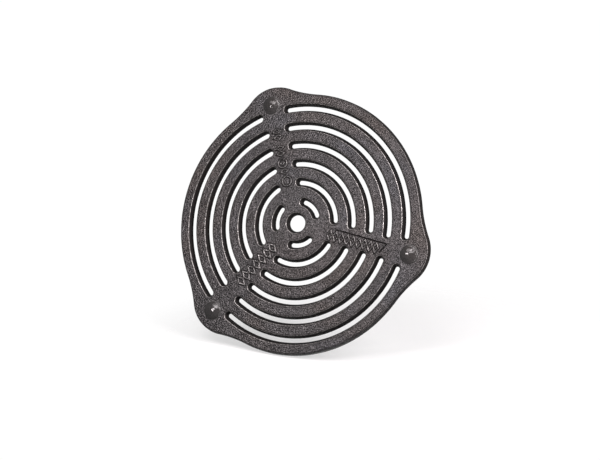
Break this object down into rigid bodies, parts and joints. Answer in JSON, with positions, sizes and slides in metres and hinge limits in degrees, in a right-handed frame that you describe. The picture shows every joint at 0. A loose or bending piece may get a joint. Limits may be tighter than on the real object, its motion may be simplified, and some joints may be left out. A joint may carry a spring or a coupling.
{
  "type": "grate plate",
  "caption": "Round cast-iron grate plate with concentric arc slots, a centre hole and rounded ears that each carry a domed stud.",
  "frame": {"origin": "on the disc's axis, half way through the plate's 5 mm thickness", "axes": "+Z is the disc's axis and points out of the studded face; +Y points at the ear with stud_rear; +X completes the right-handed set. The underside is at z = -2.5 mm and lies flat."},
  "size_m": [0.209, 0.2189, 0.0077],
  "materials": {
    "cast_iron": "black sand-cast iron, fine matt grain, edges slightly brighter",
    "stud_iron": "smooth dark iron, satin to semi-gloss"
  },
  "bodies": {
    "root": {"grate_plate": "cast_iron", "stud_rear": "stud_iron", "stud_left": "stud_iron", "stud_right": "stud_iron"}
  },
  "joints": []
}
